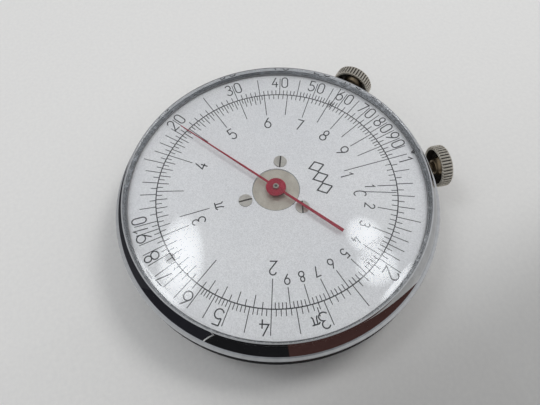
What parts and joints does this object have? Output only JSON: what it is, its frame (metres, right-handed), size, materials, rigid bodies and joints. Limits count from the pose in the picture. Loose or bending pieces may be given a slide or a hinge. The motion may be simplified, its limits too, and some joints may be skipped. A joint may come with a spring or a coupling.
{
  "type": "pocket circular slide rule",
  "caption": "Round pocket circular slide rule in a polished watch case, with a turning front dial, a fixed rear dial, a red needle over each and two knurled crowns.",
  "frame": {"origin": "centre of the small flat on the rear crystal, on the case axis, on which the object rests", "axes": "+Z out of the front dial along the case axis; +Y towards the fixed index; +X to the right of it seen from the front"},
  "size_m": [0.052, 0.0553, 0.013],
  "materials": {
    "case_chrome": "polished chrome plate",
    "crystal": "clear acrylic, polished",
    "dial_silver": "fine silvered, with printed scales",
    "index_black": "black enamel",
    "brass": "turned brass",
    "steel": "turned steel",
    "wheel_metal": "turned nickel silver",
    "needle_red": "red enamel, satin",
    "crown_nickel": "worn nickel plate over brass, knurled",
    "dot_black": "black enamel",
    "dot_red": "red enamel"
  },
  "bodies": {
    "case": {"case_ring": "case_chrome", "front_bezel": "case_chrome", "rear_bezel": "case_chrome", "front_crystal": "crystal", "rear_crystal": "crystal", "index_pointer": "index_black", "main_plate": "brass", "plate_screws": "steel", "rear_dial": "dial_silver", "rear_dial_screws": "steel", "arbor_bush": "brass", "bridge_pillars": "brass", "wheel_bridge": "brass", "bridge_screws": "steel", "centre_post": "steel", "dial_stem_bearing": "brass", "needle_stem_bearing": "brass", "bearing_screws": "steel", "dial_crown_tube": "brass", "needle_crown_tube": "brass"},
    "dial": {"front_dial": "dial_silver", "dial_wheel": "wheel_metal", "dial_screws": "steel", "dial_friction_washer": "steel"},
    "needles": {"needle_arbor": "steel", "needle_wheel": "brass", "needle_friction_washer": "steel", "front_needle": "needle_red", "front_collet": "brass", "rear_needle": "needle_red", "rear_collet": "brass"},
    "dial_knob": {"dial_crown": "crown_nickel", "dial_crown_dot": "dot_black", "dial_stem": "steel", "dial_pinion": "steel"},
    "needle_knob": {"needle_crown": "crown_nickel", "needle_crown_dot": "dot_red", "needle_stem": "steel", "needle_pinion": "steel"}
  },
  "joints": [
    {"name": "dial_turn", "type": "hinge", "parent": "case", "child": "dial", "pos_m": [0, 0, 0.0085], "axis": [0, 0, 1], "continuous": true},
    {"name": "needle_turn", "type": "hinge", "parent": "case", "child": "needles", "pos_m": [0, 0, 0.0065], "axis": [0, 0, 1], "continuous": true},
    {"name": "dial_crown_turn", "type": "hinge", "parent": "case", "child": "dial_knob", "pos_m": [0, 0, 0.0065], "axis": [-0.6794, 0.7337, 0], "continuous": true},
    {"name": "needle_crown_turn", "type": "hinge", "parent": "case", "child": "needle_knob", "pos_m": [0, 0, 0.0065], "axis": [0.0785, 0.9969, 0], "continuous": true}
  ],
  "couplings": [
    {"joint": "dial_crown_turn", "follows": "dial_turn", "ratio": -11},
    {"joint": "needle_crown_turn", "follows": "needle_turn", "ratio": 7}
  ]
}
